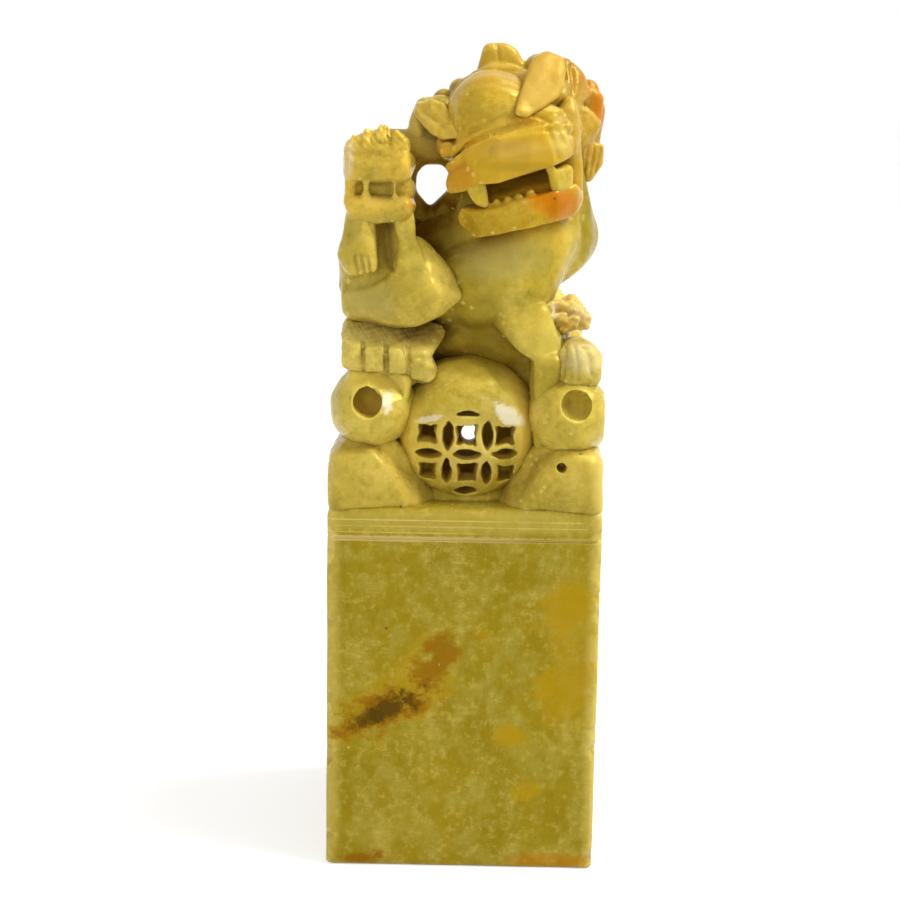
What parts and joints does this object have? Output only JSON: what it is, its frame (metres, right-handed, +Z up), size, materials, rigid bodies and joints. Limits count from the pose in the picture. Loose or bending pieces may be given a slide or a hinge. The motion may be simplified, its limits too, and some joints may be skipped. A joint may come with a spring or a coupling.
{
  "type": "carved stone seal stamp",
  "caption": "Square soapstone seal stamp with a bare sealing face; its knob is carved as a lion and cub over a pierced coin-lattice ball",
  "frame": {"origin": "middle of the sealing face, on the surface that the seal stands on", "axes": "+Z up along the block to the knob; -Y is the side that shows the pierced ball and the cub; +X to the viewer's right"},
  "size_m": [0.03, 0.03, 0.0915],
  "materials": {
    "block_stone": "polished translucent soapstone",
    "rock_stone": "polished translucent soapstone",
    "pearl_stone": "polished translucent soapstone",
    "ball_stone": "polished translucent soapstone",
    "limb_stone": "polished translucent soapstone",
    "body_stone": "polished translucent soapstone",
    "haunch_stone": "polished translucent soapstone",
    "brow_stone": "polished translucent soapstone",
    "skull_stone": "polished translucent soapstone",
    "lip_stone": "polished translucent soapstone",
    "mane_stone": "polished translucent soapstone",
    "tooth_stone": "polished translucent soapstone",
    "tuft_stone": "rough broken soapstone"
  },
  "bodies": {
    "root": {"seal_block": "block_stone", "left_front_rock": "rock_stone", "right_front_rock": "rock_stone", "left_rear_rock": "rock_stone", "right_rear_rock": "rock_stone", "left_pearl": "pearl_stone", "right_pearl": "pearl_stone", "lattice_ball": "ball_stone", "left_toe_1": "limb_stone", "left_toe_2": "limb_stone", "left_toe_3": "limb_stone", "left_toe_4": "limb_stone", "left_front_paw": "limb_stone", "right_front_paw": "limb_stone", "right_foreleg": "limb_stone", "left_rear_paw": "limb_stone", "right_rear_paw": "limb_stone", "cub_left_arm": "limb_stone", "cub_right_arm": "limb_stone", "chest": "body_stone", "rump": "body_stone", "neck": "body_stone", "belly": "body_stone", "cub_body": "body_stone", "cub_neck": "body_stone", "cub_haunch": "haunch_stone", "left_thigh": "haunch_stone", "right_thigh": "haunch_stone", "cub_head": "brow_stone", "cub_hair": "brow_stone", "left_eye": "brow_stone", "right_eye": "brow_stone", "left_ear": "brow_stone", "right_ear": "brow_stone", "skull": "skull_stone", "upper_jaw": "lip_stone", "left_jowl": "lip_stone", "nose": "lip_stone", "lower_jaw": "lip_stone", "cub_jaw": "lip_stone", "right_cheek": "lip_stone", "mane": "mane_stone", "crown_tuft": "mane_stone", "left_mane_lock_1": "mane_stone", "left_mane_lock_2": "mane_stone", "right_mane_lock_1": "mane_stone", "right_mane_lock_2": "mane_stone", "right_mane_lock_3": "mane_stone", "linking_lock": "mane_stone", "back_mane_lock_1": "mane_stone", "back_mane_lock_2": "mane_stone", "back_mane_lock_3": "mane_stone", "back_mane_lock_4": "mane_stone", "tail": "mane_stone", "spine_ridge": "mane_stone", "left_fang": "tooth_stone", "right_fang": "tooth_stone", "lower_teeth": "tooth_stone", "elbow_tuft": "tuft_stone"}
  },
  "joints": []
}
